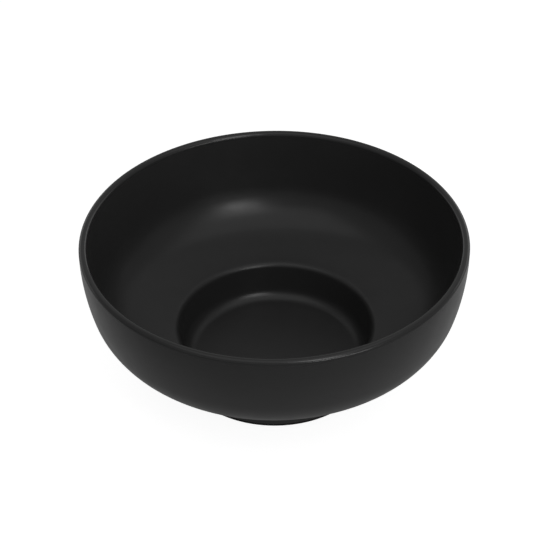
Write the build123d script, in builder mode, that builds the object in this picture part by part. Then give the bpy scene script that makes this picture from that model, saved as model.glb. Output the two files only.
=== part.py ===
from build123d import *
from math import acos, cos, degrees, radians, sin, sqrt
import os

# Hair colour bowl: a one-piece moulded bowl with a sunken well and a ring foot,
# and a soft non-slip ring that snaps into the foot's bottom edge.
# Millimetres, +Z up. The origin is on the table, on the bowl's axis.

# Driving dimensions
rim_radius = 65.0            # outside radius at the bowl's widest circle
overall_height = 55.0        # table to the top of the lip
wall = 2.7                   # thickness of the moulded wall

# Side of the bowl and shelf: three arcs, each tangent to the next
side_radius = 77.0           # the gently curved upper side
side_sweep = 15.1            # degrees of that arc, from the widest circle down
turn_radius = 21.0           # the tighter turn at the bottom of the side
shelf_slope = 22.0           # degrees, where the turn passes into the shelf
shelf_radius = 59.5          # the shelf's slow curve, which flattens towards the well

# Well sunk in the middle of the bowl
well_radius = 33.2           # where the shelf breaks into the well
well_corner_radius = 31.0    # where the well's wall meets its floor
well_floor_height = 5.5
well_edge_round = 2.2
well_corner_round = 4.2

# Ring foot under the well
foot_radius = 33.0
foot_wall = 3.6
foot_shoulder_height = 5.0   # the foot flares out above this
foot_neck_radius = 35.9      # where the foot's flare meets the shelf's underside
foot_neck_round = 3.0
foot_shoulder_round = 6.0
foot_inner_round = 1.0
foot_edge_round = 0.3

# Mark of the injection gate, in the middle of the floor's underside
gate_dish_radius = 3.0
gate_dish_depth = 0.6
gate_stub_radius = 0.8
gate_stub_height = 0.35

# Non-slip ring: a flat pad with a beaded tongue
pad_height = 1.1             # the foot stands this far above the table
pad_inset = 0.15             # the pad is this much narrower than the foot, each side
pad_edge_round = 0.5
tongue_width = 1.2
tongue_height = 1.6          # from the top of the pad to the middle of its bead
bead_radius = 0.85
groove_clearance = 0.06
tread_depth = 0.35
tread_width = 0.4
tread_spacing = 1.2

# Worked out from the above
lip_radius = wall / 2
rim_height = overall_height - lip_radius
lip_centre = (rim_radius - lip_radius, rim_height)
side_centre = (rim_radius - side_radius, rim_height)
turn_centre = (
    side_centre[0] + (side_radius - turn_radius) * cos(radians(side_sweep)),
    side_centre[1] - (side_radius - turn_radius) * sin(radians(side_sweep)),
)
turn_sweep = 90 - side_sweep - shelf_slope
turn_end = -90 + shelf_slope
shelf_centre = (
    turn_centre[0] - (shelf_radius - turn_radius) * cos(radians(turn_end)),
    turn_centre[1] - (shelf_radius - turn_radius) * sin(radians(turn_end)),
)
floor_underside = well_floor_height - wall
foot_inner_radius = foot_radius - foot_wall
tongue_radius = foot_radius - foot_wall / 2
pad_width = foot_wall - 2 * pad_inset
dish_top = floor_underside + gate_dish_depth
dish_sphere_radius = (gate_dish_radius ** 2 + gate_dish_depth ** 2) / (2 * gate_dish_depth)


def shelf_height(radius, depth):
    """Height of the shelf's surface, depth below its top face, at a distance from the axis."""
    arc = shelf_radius - wall + depth
    return shelf_centre[1] - sqrt(arc ** 2 - (radius - shelf_centre[0]) ** 2)


def shelf_sweep(radius, depth):
    """Degrees of the shelf's arc, depth below its top face, from the turn in to a distance from the axis."""
    arc = shelf_radius - wall + depth
    return turn_end + degrees(acos((radius - shelf_centre[0]) / arc))


def tongue_outline(gap):
    """Draws the beaded tongue in the open sketch or, grown by gap, the groove that holds it."""
    with Locations((tongue_radius, pad_height + tongue_height / 2)):
        Rectangle(tongue_width + 2 * gap, tongue_height)
    with Locations((tongue_radius, pad_height + tongue_height)):
        Circle(bead_radius + gap)


# Bowl
well_edge = (well_radius, shelf_height(well_radius, 0))
well_corner = (well_corner_radius, well_floor_height)
foot_neck = (foot_neck_radius, shelf_height(foot_neck_radius, wall))
foot_shoulder = (foot_radius, foot_shoulder_height)
foot_outer_edge = (foot_radius, pad_height)
foot_inner_edge = (foot_inner_radius, pad_height)
foot_inner_corner = (foot_inner_radius, floor_underside)

with BuildPart() as bowl:
    with BuildSketch(Plane.XZ) as bowl_section:
        with BuildLine():
            inner_shelf = CenterArc(shelf_centre, shelf_radius - wall, turn_end,
                                    -shelf_sweep(well_radius, 0))
            CenterArc(turn_centre, turn_radius - wall, turn_end, turn_sweep)
            CenterArc(side_centre, side_radius - wall, -side_sweep, side_sweep)
            CenterArc(side_centre, side_radius, 0, -side_sweep)
            CenterArc(turn_centre, turn_radius, -side_sweep, -turn_sweep)
            outer_shelf = CenterArc(shelf_centre, shelf_radius, turn_end,
                                    -shelf_sweep(foot_neck_radius, wall))
            CenterArc(lip_centre, lip_radius, 180, -90)
            CenterArc(lip_centre, lip_radius, 90, -90)
            Polyline((0, well_floor_height), well_corner, inner_shelf @ 1)
            Polyline(outer_shelf @ 1, foot_shoulder, foot_outer_edge, foot_inner_edge,
                     foot_inner_corner, (0, floor_underside), (0, well_floor_height))
        make_face()
        for corner, size in (
            (well_edge, well_edge_round),
            (well_corner, well_corner_round),
            (foot_neck, foot_neck_round),
            (foot_shoulder, foot_shoulder_round),
            (foot_inner_corner, foot_inner_round),
            (foot_outer_edge, foot_edge_round),
            (foot_inner_edge, foot_edge_round),
        ):
            fillet(bowl_section.vertices().sort_by_distance(corner)[0], radius=size)
    revolve(axis=Axis.Z)
    # Groove in the foot's bottom edge for the non-slip ring
    with BuildSketch(Plane.XZ):
        tongue_outline(groove_clearance)
    revolve(axis=Axis.Z, mode=Mode.SUBTRACT)
    # Gate mark: a shallow spherical dish, with a small stub that hangs from the floor inside it
    with Locations((0, 0, dish_top - dish_sphere_radius)):
        Sphere(dish_sphere_radius, mode=Mode.SUBTRACT)
    with BuildSketch(Plane.XY.offset(dish_top - gate_stub_height)):
        Circle(gate_stub_radius)
    extrude(amount=gate_stub_height + gate_dish_depth)

bowl.part.label = "bowl"

# Non-slip ring
with BuildPart() as non_slip_ring:
    with BuildSketch(Plane.XZ) as ring_section:
        with Locations((tongue_radius, pad_height / 2)):
            Rectangle(pad_width, pad_height)
        fillet(ring_section.vertices().group_by(Axis.Y)[0], radius=pad_edge_round)
        tongue_outline(0)
        with Locations((tongue_radius, 0)):
            with GridLocations(tread_spacing, 0, 2, 1):
                Rectangle(tread_width, 2 * tread_depth, mode=Mode.SUBTRACT)
    revolve(axis=Axis.Z)

non_slip_ring.part.label = "non_slip_ring"

os.makedirs("parts", exist_ok=True)
export_step(bowl.part, "parts/bowl.step")
export_step(non_slip_ring.part, "parts/non_slip_ring.step")
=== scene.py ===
import math

import bmesh
import bpy
from mathutils import Matrix, Quaternion, Vector


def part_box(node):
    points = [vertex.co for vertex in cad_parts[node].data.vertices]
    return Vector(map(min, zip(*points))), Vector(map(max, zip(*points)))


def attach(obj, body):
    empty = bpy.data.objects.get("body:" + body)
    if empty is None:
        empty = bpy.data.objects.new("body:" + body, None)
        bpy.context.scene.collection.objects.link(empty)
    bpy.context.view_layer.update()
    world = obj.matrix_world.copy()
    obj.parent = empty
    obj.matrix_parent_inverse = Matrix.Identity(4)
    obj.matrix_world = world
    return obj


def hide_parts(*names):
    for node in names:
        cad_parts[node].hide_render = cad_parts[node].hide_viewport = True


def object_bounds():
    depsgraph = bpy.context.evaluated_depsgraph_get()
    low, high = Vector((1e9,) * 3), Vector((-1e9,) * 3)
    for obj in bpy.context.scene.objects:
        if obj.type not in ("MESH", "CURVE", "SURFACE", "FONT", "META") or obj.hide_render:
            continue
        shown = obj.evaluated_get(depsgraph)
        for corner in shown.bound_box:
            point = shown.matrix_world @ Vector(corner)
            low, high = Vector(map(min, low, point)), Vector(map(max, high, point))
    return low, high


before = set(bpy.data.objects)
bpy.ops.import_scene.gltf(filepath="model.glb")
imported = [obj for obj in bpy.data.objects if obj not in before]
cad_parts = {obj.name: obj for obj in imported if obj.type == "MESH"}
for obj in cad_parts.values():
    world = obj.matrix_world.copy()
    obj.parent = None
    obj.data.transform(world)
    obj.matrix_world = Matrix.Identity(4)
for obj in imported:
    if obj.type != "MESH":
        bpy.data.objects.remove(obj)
cad_low, cad_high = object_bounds()

# ------------------------------------------------------------------ sizes
# Outlines are in mm, as (distance from the axis, height). Where the frame holds a size it is read
# from there. The studio and the materials are in metres.

bowl_low, bowl_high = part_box("bowl")
ring_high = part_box("non_slip_ring")[1]
rim_radius = bowl_high.x          # in metres
rim_radius_mm = 65.0              # the same radius in an outline
mm = rim_radius / rim_radius_mm   # metres in each mm of an outline
same_place = 1e-5                 # mm, outline points closer than this are one point

# Side and shelf: three arcs, each tangent to the next
overall_height = bowl_high.z / mm
wall = 2.7
lip_radius = wall / 2
rim_height = overall_height - lip_radius
side_radius = 77.0                # the gently curved upper side
side_sweep = 15.1                 # degrees
turn_radius = 21.0                # the tighter turn at the bottom of the side
shelf_slope = 22.0                # degrees, where the turn passes into the shelf
shelf_radius = 59.5               # the shelf's slow curve
corner_margin = 2.5               # the shelf's arc stops this far short of a corner, to let it be rounded

side_centre = (rim_radius_mm - side_radius, rim_height)
turn_centre = (
    side_centre[0] + (side_radius - turn_radius) * math.cos(math.radians(side_sweep)),
    side_centre[1] - (side_radius - turn_radius) * math.sin(math.radians(side_sweep)),
)
turn_end = shelf_slope - 90
shelf_centre = (
    turn_centre[0] - (shelf_radius - turn_radius) * math.cos(math.radians(turn_end)),
    turn_centre[1] - (shelf_radius - turn_radius) * math.sin(math.radians(turn_end)),
)

# Well
well_radius = 33.2
well_corner_radius = 31.0
well_floor_height = 5.5
well_edge_round = 2.2
well_corner_round = 4.2
floor_underside = well_floor_height - wall

# Gate mark: a shallow spherical dish in the floor's underside, with a small stub in its middle
gate_dish_depth = 0.6
gate_dish_curve = 7.8             # radius of the dish's sphere
gate_dish_start = 84.0            # degrees round that sphere, beside the stub
gate_dish_end = 67.4              # degrees round that sphere, at the floor
gate_stub_radius = 0.8
gate_stub_recess = 0.25           # from the floor's underside up to the stub's end

# Foot
pad_height = bowl_low.z / mm      # the foot stands on a pad this thick
pad_inset = 0.15                  # the pad is this much narrower than the foot, each side
foot_wall = 3.6
foot_radius = ring_high.x / mm + pad_inset
foot_inner_radius = foot_radius - foot_wall
foot_middle = foot_radius - foot_wall / 2
foot_shoulder_height = 5.0        # the foot flares out above this
foot_neck_radius = 35.9           # where the foot's flare meets the shelf's underside
foot_neck_round = 3.0
foot_shoulder_round = 6.0
foot_inner_round = 1.0
foot_edge_round = 0.3

# Ring: a flat pad with a tongue that ends in a bead
pad_half_width = foot_wall / 2 - pad_inset
pad_edge_round = 0.5
tread_near = 0.4                  # a tread groove's two sides, measured from the pad's middle
tread_far = 0.8
tread_depth = 0.35
bead_radius = 0.85
bead_height = ring_high.z / mm - bead_radius
tongue_half_width = 0.6
groove_clearance = 0.06
groove_half_width = tongue_half_width + groove_clearance


# ------------------------------------------------------------------ outlines
def arc(centre, radius, start, end, step=3.0):
    """Points on an arc from angle start to angle end, in degrees, no more than step apart."""
    count = max(2, math.ceil(abs(end - start) / step))
    angles = [math.radians(start + (end - start) * i / count) for i in range(count + 1)]
    return [(centre[0] + radius * math.cos(a), centre[1] + radius * math.sin(a)) for a in angles]


def rounded(corners, spacing=1.5, step=9.0):
    """Points along a path of (x, y, rounding radius) corners, at most spacing apart on its straight runs
    and step degrees apart round its corners."""
    spots = [Vector(corner[:2]) for corner in corners]
    path = [spots[0]]

    def run_to(end):
        start = path[-1]
        count = max(1, math.ceil((end - start).length / spacing))
        path.extend(start.lerp(end, i / count) for i in range(1, count + 1))

    for before, spot, after, corner in zip(spots, spots[1:], spots[2:], corners[1:]):
        radius = corner[2]
        if radius == 0:
            run_to(spot)
            continue
        back = (before - spot).normalized()
        on = (after - spot).normalized()
        half = back.angle(on) / 2
        centre = spot + (back + on).normalized() * radius / math.sin(half)
        run_to(spot + back * radius / math.tan(half))
        arm = path[-1] - centre
        turn = (on * radius / math.tan(half) + spot - centre).angle_signed(arm)
        count = math.ceil(abs(math.degrees(turn)) / step)
        path.extend(centre + Matrix.Rotation(turn * i / count, 2) @ arm for i in range(1, count + 1))
    run_to(spots[-1])
    return [tuple(spot) for spot in path]


def shelf(depth, corner_radius):
    """The shelf, depth in from its outer face, from the turn to just short of a corner, and that corner."""
    radius = shelf_radius - depth
    across = corner_radius - shelf_centre[0]
    end = -math.degrees(math.acos((across + corner_margin) / radius))
    corner = (corner_radius, shelf_centre[1] - math.sqrt(radius ** 2 - across ** 2))
    return arc(shelf_centre, radius, turn_end, end, step=2), corner


def side(depth):
    """The side, depth in from its outer face, from the end of the shelf up to the lip."""
    lower = arc(turn_centre, turn_radius - depth, turn_end, -side_sweep)
    upper = arc(side_centre, side_radius - depth, -side_sweep, 0, step=1)
    return lower + upper


def beaded_slot(gap):
    """The ring's tongue, or the groove a gap round it: up its inner side, over the bead and down again."""
    radius = bead_radius + gap
    half_width = tongue_half_width + gap
    neck = math.degrees(math.asin(half_width / radius))
    bead = arc((foot_middle, bead_height), radius, -90 - neck, -450 + neck, step=12)
    return [(foot_middle - half_width, pad_height), *bead, (foot_middle + half_width, pad_height)]


def bowl_outline():
    """From the gate mark under the floor, out round the foot and side, over the lip and in to the well."""
    dish_centre = (0, floor_underside + gate_dish_depth - gate_dish_curve)
    gate_dish = arc(dish_centre, gate_dish_curve, gate_dish_start, gate_dish_end, step=2)
    stub_end = floor_underside + gate_stub_recess
    gate_stub = rounded([
        (0, stub_end, 0),
        (gate_stub_radius, stub_end, 0),
        (*gate_dish[0], 0),
    ], spacing=0.4)
    foot_inside = rounded([
        (*gate_dish[-1], 0),
        (foot_inner_radius, floor_underside, foot_inner_round),
        (foot_inner_radius, pad_height, foot_edge_round),
        (foot_middle - groove_half_width, pad_height, 0),
    ])
    outer_shelf, foot_neck = shelf(0, foot_neck_radius)
    foot_outside = rounded([
        (foot_middle + groove_half_width, pad_height, 0),
        (foot_radius, pad_height, foot_edge_round),
        (foot_radius, foot_shoulder_height, foot_shoulder_round),
        (*foot_neck, foot_neck_round),
        (*outer_shelf[-1], 0),
    ])
    lip = arc((rim_radius_mm - lip_radius, rim_height), lip_radius, 0, 180, step=7.5)
    inner_shelf, well_edge = shelf(wall, well_radius)
    well = rounded([
        (*inner_shelf[-1], 0),
        (*well_edge, well_edge_round),
        (well_corner_radius, well_floor_height, well_corner_round),
        (0, well_floor_height, 0),
    ])
    underneath = gate_stub + gate_dish + foot_inside + beaded_slot(groove_clearance) + foot_outside
    return underneath + outer_shelf[::-1] + side(0) + lip + side(wall)[::-1] + inner_shelf + well


def ring_outline():
    """From the middle of the contact face, out round the pad, over the tongue and back on the inside."""
    outer_half = rounded([
        (foot_middle, 0, 0),
        (foot_middle + tread_near, 0, 0),
        (foot_middle + tread_near, tread_depth, 0),
        (foot_middle + tread_far, tread_depth, 0),
        (foot_middle + tread_far, 0, 0),
        (foot_middle + pad_half_width, 0, pad_edge_round),
        (foot_middle + pad_half_width, pad_height, 0),
        (foot_middle + tongue_half_width, pad_height, 0),
    ], spacing=0.4)
    inner_half = [(2 * foot_middle - radius, height) for radius, height in outer_half[::-1]]
    return outer_half + beaded_slot(0)[::-1] + inner_half


# ------------------------------------------------------------------ meshes
def place_mesh(name, mesh):
    """A new object in the scene that holds a finished bmesh."""
    data = bpy.data.meshes.new(name)
    mesh.to_mesh(data)
    mesh.free()
    thing = bpy.data.objects.new(name, data)
    bpy.context.scene.collection.objects.link(thing)
    return thing


def lathe(name, outline, segments=192):
    """A smooth closed mesh, turned about Z from an outline that ends on the axis or where it began."""
    mesh = bmesh.new()
    angles = [math.tau * i / segments for i in range(segments)]
    rings = []
    last = None
    for spot in outline:
        if last is not None and math.dist(spot, last) < same_place:
            continue
        last = spot
        radius, height = spot
        if radius < same_place:
            rings.append([mesh.verts.new((0, 0, height * mm))] * segments)
            continue
        rings.append([
            mesh.verts.new((radius * mm * math.cos(a), radius * mm * math.sin(a), height * mm))
            for a in angles
        ])
    if math.dist(outline[0], outline[-1]) < same_place:
        for vertex in rings.pop():
            mesh.verts.remove(vertex)
    for ring, following in zip(rings, rings[1:] + rings[:1]):
        for i in range(segments):
            j = (i + 1) % segments
            corners = dict.fromkeys((ring[i], ring[j], following[j], following[i]))
            if len(corners) > 2:
                mesh.faces.new(corners)
    bmesh.ops.recalc_face_normals(mesh, faces=mesh.faces)
    for face in mesh.faces:
        face.smooth = True
    return place_mesh(name, mesh)


# ------------------------------------------------------------------ materials
class Shader:
    """A material's node tree, with short ways to add and join its nodes."""

    def __init__(self, name):
        self.material = bpy.data.materials.new(name)
        self.material.use_nodes = True
        self.tree = self.material.node_tree
        self.principled = self.tree.nodes["Principled BSDF"]
        self.place = self.tree.nodes.new("ShaderNodeTexCoord").outputs["Object"]

    def join(self, source, node, socket):
        """Feeds a node's input from another node's output, or sets it to a plain value."""
        if isinstance(source, bpy.types.NodeSocket):
            self.tree.links.new(source, node.inputs[socket])
        else:
            node.inputs[socket].default_value = source

    def surface(self, settings):
        """Feeds the surface's own inputs, from a dict of input name to source."""
        for socket, source in settings.items():
            self.join(source, self.principled, socket)

    def noise(self, size, detail=2.0, roughness=0.5):
        """A smooth random pattern whose features are about size metres across."""
        node = self.tree.nodes.new("ShaderNodeTexNoise")
        self.join(self.place, node, "Vector")
        self.join(1 / size, node, "Scale")
        self.join(detail, node, "Detail")
        self.join(roughness, node, "Roughness")
        return node.outputs["Fac"]

    def along(self, axis):
        """The place along the X, Y or Z axis, in metres."""
        node = self.tree.nodes.new("ShaderNodeSeparateXYZ")
        self.join(self.place, node, "Vector")
        return node.outputs[axis]

    def distance(self):
        """Distance from the object's own origin, in metres."""
        node = self.tree.nodes.new("ShaderNodeVectorMath")
        node.operation = "LENGTH"
        self.join(self.place, node, "Vector")
        return node.outputs["Value"]

    def seen_by_camera(self):
        """1 where the camera looks straight at the surface, and 0 for light that bounces off it."""
        return self.tree.nodes.new("ShaderNodeLightPath").outputs["Is Camera Ray"]

    def spread(self, source, span, to_span):
        """source, stretched so that the two ends of span become the two ends of to_span, and held there."""
        node = self.tree.nodes.new("ShaderNodeMapRange")
        sockets = ("Value", "From Min", "From Max", "To Min", "To Max")
        for socket, value in zip(sockets, (source, *span, *to_span)):
            self.join(value, node, socket)
        return node.outputs["Result"]

    def less(self, first, second):
        """first minus second."""
        node = self.tree.nodes.new("ShaderNodeMath")
        node.operation = "SUBTRACT"
        self.join(first, node, 0)
        self.join(second, node, 1)
        return node.outputs["Value"]

    def blend(self, share, first, second):
        """The first colour where share is 0 and the second where it is 1."""
        node = self.tree.nodes.new("ShaderNodeMix")
        node.data_type = "RGBA"
        self.join(share, node, "Factor")
        self.join(first, node, "A")
        self.join(second, node, "B")
        return node.outputs["Result"]

    def bump(self, pattern, depth, under=None):
        """A surface normal with the pattern raised by depth metres, on top of another normal."""
        node = self.tree.nodes.new("ShaderNodeBump")
        self.join(pattern, node, "Height")
        self.join(depth, node, "Distance")
        self.join(1.0, node, "Strength")
        if under is not None:
            self.join(under, node, "Normal")
        return node.outputs["Normal"]


def grey(value):
    return (value, value, value, 1)


most_of_noise = (0.3, 0.7)        # nearly all of a noise pattern lies between these


def moulded_plastic():
    """Black polypropylene from a finely spark-eroded mould: satin, faintly wavy, smoother on the lip."""
    shader = Shader("moulded_plastic")
    drift = shader.noise(22 * mm, detail=1)
    cloud = shader.noise(6 * mm)
    grain = shader.noise(0.4 * mm, detail=3, roughness=0.6)
    roughness = shader.spread(cloud, most_of_noise, (0.28, 0.33))
    up_onto_lip = ((rim_height - 1) * mm, (rim_height + 1) * mm)
    lip_polish = shader.spread(shader.along("Z"), up_onto_lip, (0, 0.11))
    waves = shader.bump(drift, 0.12 * mm)
    shader.surface({
        "Base Color": shader.blend(drift, grey(0.031), grey(0.037)),
        "Roughness": shader.less(roughness, lip_polish),
        "Normal": shader.bump(grain, 0.006 * mm, waves),
        "IOR": 1.5,
    })
    return shader.material


def soft_rubber():
    """Dull black elastomer, darker and rougher than the bowl, with a fine moulded grain."""
    shader = Shader("soft_rubber")
    cloud = shader.noise(3 * mm)
    grain = shader.noise(0.3 * mm, detail=3, roughness=0.65)
    shader.surface({
        "Base Color": shader.blend(cloud, grey(0.007), grey(0.012)),
        "Roughness": shader.spread(cloud, most_of_noise, (0.68, 0.78)),
        "Normal": shader.bump(grain, 0.02 * mm),
        "IOR": 1.4,
    })
    return shader.material


# ------------------------------------------------------------------ the object
def dress(piece, node, material):
    """Puts a finished piece in place of its CAD node, on the row's one body."""
    piece.data.materials.append(material)
    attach(piece, "root")
    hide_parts(node)


dress(lathe("bowl_moulding", bowl_outline()), "bowl", moulded_plastic())
dress(lathe("non_slip_ring_moulding", ring_outline()), "non_slip_ring", soft_rubber())


# ------------------------------------------------------------------ studio
floor_radius = 60 * rim_radius
lamp_distance = 18 * rim_radius


def floor_with_painted_light():
    """A wide matt floor with a painted pool of light, pale round the foot and dark further out. It glows as
    painted light: to the camera almost white, a little less round the foot, and to the bowl only a little,
    more at the back than at the front."""
    disc = bmesh.new()
    bmesh.ops.create_circle(disc, cap_ends=True, segments=96, radius=floor_radius)
    floor = place_mesh("floor", disc)
    floor.location.z = cad_low.z
    shader = Shader("floor")
    # Painted pool of light: 0 round the foot, rising to 1 further out, where the floor is darker and glows
    # a little more to the camera.
    out_of_painted_pool = shader.spread(shader.distance(), (1.4 * rim_radius, 3.5 * rim_radius), (0, 1))
    to_the_camera = shader.spread(out_of_painted_pool, (0, 1), (0.9, 1))
    # Painted light for the bowl: the floor glows onto it, more at the back than at the front.
    front_to_back = (-1.6 * rim_radius, rim_radius)
    painted_glow_to_bowl = shader.spread(shader.along("Y"), front_to_back, (0.035, 0.25))
    glow = shader.spread(shader.seen_by_camera(), (0, 1), (painted_glow_to_bowl, to_the_camera))
    shader.surface({
        # Painted pool of light in the floor's colour: pale round the foot, dark further out.
        "Base Color": shader.blend(out_of_painted_pool, grey(0.5), grey(0.08)),
        "Roughness": 0.9,
        "Specular IOR Level": 0.0,
        "Emission Color": grey(1),
        "Emission Strength": glow,
    })
    floor.data.materials.append(shader.material)


def direction(azimuth, elevation):
    """Unit vector towards a place round the bowl: azimuth 0 is the camera's side, 90 is to its right."""
    turn = math.radians(azimuth)
    lift = math.radians(elevation)
    return Vector((math.sin(turn) * math.cos(lift), -math.cos(turn) * math.cos(lift), math.sin(lift)))


def softbox(name, azimuth, elevation, wide, tall, brightness):
    """A lamp that faces the bowl, wide by tall degrees across. A brightness of 1 would look white."""
    data = bpy.data.lights.new(name, "AREA")
    data.shape = "RECTANGLE"
    data.size = 2 * lamp_distance * math.tan(math.radians(wide / 2))
    data.size_y = 2 * lamp_distance * math.tan(math.radians(tall / 2))
    data.energy = brightness * math.pi * data.size * data.size_y
    lamp = bpy.data.objects.new(name, data)
    bpy.context.scene.collection.objects.link(lamp)
    towards = direction(azimuth, elevation)
    lamp.location = towards * lamp_distance
    lamp.rotation_mode = "QUATERNION"
    lamp.rotation_quaternion = towards.to_track_quat("Z", "Y")
    lamp.visible_camera = False


def studio_light():
    """A key lamp on the right with a brighter core, low lamps in front and behind, and soft light above."""
    softbox("key", azimuth=25, elevation=43, wide=20, tall=28, brightness=1.58)
    softbox("key_core", azimuth=27, elevation=37, wide=13, tall=13, brightness=1.8)
    softbox("front_right", azimuth=34, elevation=9, wide=30, tall=10, brightness=3.5)
    softbox("front_strip", azimuth=10, elevation=9, wide=130, tall=10, brightness=0.15)
    softbox("overhead", azimuth=10, elevation=76, wide=70, tall=50, brightness=0.32)
    softbox("back", azimuth=180, elevation=36, wide=80, tall=60, brightness=0.13)
    softbox("back_left", azimuth=-135, elevation=12, wide=50, tall=22, brightness=0.38)
    softbox("back_right", azimuth=135, elevation=12, wide=50, tall=22, brightness=0.55)


def surroundings():
    """A dim even room for light, plain white for the camera."""
    world = bpy.data.worlds.new("studio")
    bpy.context.scene.world = world
    world.use_nodes = True
    tree = world.node_tree
    seen = tree.nodes.new("ShaderNodeLightPath").outputs["Is Camera Ray"]
    mix = tree.nodes.new("ShaderNodeMix")
    mix.data_type = "RGBA"
    mix.inputs["A"].default_value = grey(0.18)
    mix.inputs["B"].default_value = grey(1)
    tree.links.new(seen, mix.inputs["Factor"])
    tree.links.new(mix.outputs["Result"], tree.nodes["Background"].inputs["Color"])


def camera():
    """A long lens, ten rim radii away and aimed a little below the middle of the rim."""
    elevation = 36.37
    roll = 0.58
    distance = 10 * rim_radius
    aim_below = 0.196164 * rim_radius   # in the picture's own upright direction
    aim_right = 0.001995 * rim_radius
    data = bpy.data.cameras.new("camera")
    data.sensor_width = 36
    data.lens = 127.9636
    place = bpy.data.objects.new("camera", data)
    bpy.context.scene.collection.objects.link(place)
    rim_middle = Vector((0, 0, cad_high.z))
    upright = direction(180, 90 - elevation)
    place.location = rim_middle + distance * direction(0, elevation)
    aim = rim_middle - upright * aim_below + Vector((aim_right, 0, 0))
    look = aim - place.location
    tilt = Quaternion(look.normalized(), math.radians(roll))
    place.rotation_mode = "QUATERNION"
    place.rotation_quaternion = tilt @ look.to_track_quat("-Z", "Y")
    bpy.context.scene.camera = place


floor_with_painted_light()
studio_light()
surroundings()
camera()
bpy.context.scene.view_settings.view_transform = "Standard"
